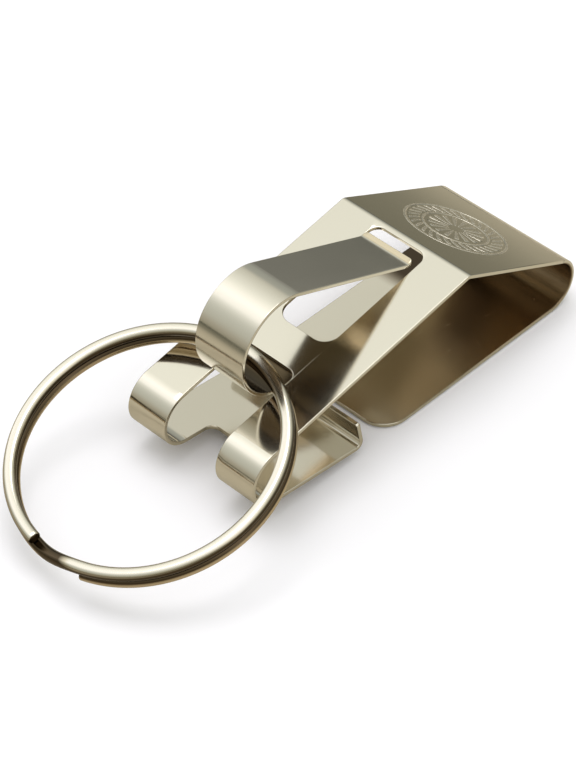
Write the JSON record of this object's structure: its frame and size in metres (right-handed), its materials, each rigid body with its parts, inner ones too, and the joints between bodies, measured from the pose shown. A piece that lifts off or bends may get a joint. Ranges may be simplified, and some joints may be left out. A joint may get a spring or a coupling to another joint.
{
  "type": "belt key clip",
  "caption": "Belt key clip of folded nickel-plated strip that slides over a belt, with a sprung key hook and a split ring.",
  "frame": {"origin": "centre of the belt leaf's flat outer face, the face that lies against the wearer", "axes": "+X along the strip toward the round bend that hugs the belt's edge, +Z out of the belt toward the front of the clip, +Y across the strip"},
  "size_m": [0.0963, 0.0426, 0.0302],
  "materials": {
    "plated_strip": "bright nickel plate",
    "ring_wire": "bright nickel plate"
  },
  "bodies": {
    "belt_leaf": {"belt_leaf": "plated_strip"},
    "front_frame": {"front_frame": "plated_strip"},
    "key_hook": {"key_hook": "plated_strip"},
    "split_ring": {"split_ring": "ring_wire"}
  },
  "joints": [
    {"name": "bow_flex", "type": "hinge", "parent": "belt_leaf", "child": "front_frame", "pos_m": [0.02087, 0, 0.00919], "axis": [0, 1, 0], "range_deg": [0, 12], "stiffness_Nm_per_rad": 2},
    {"name": "hook_flex", "type": "hinge", "parent": "front_frame", "child": "key_hook", "pos_m": [-0.02933, 0, 0.01435], "axis": [0, 1, 0], "range_deg": [0, 6], "stiffness_Nm_per_rad": 1.2},
    {"name": "ring_swing", "type": "hinge", "parent": "key_hook", "child": "split_ring", "pos_m": [-0.03314, 0.0015, 0.01738], "axis": [0, 1, 0], "range_deg": [0, 130]}
  ]
}
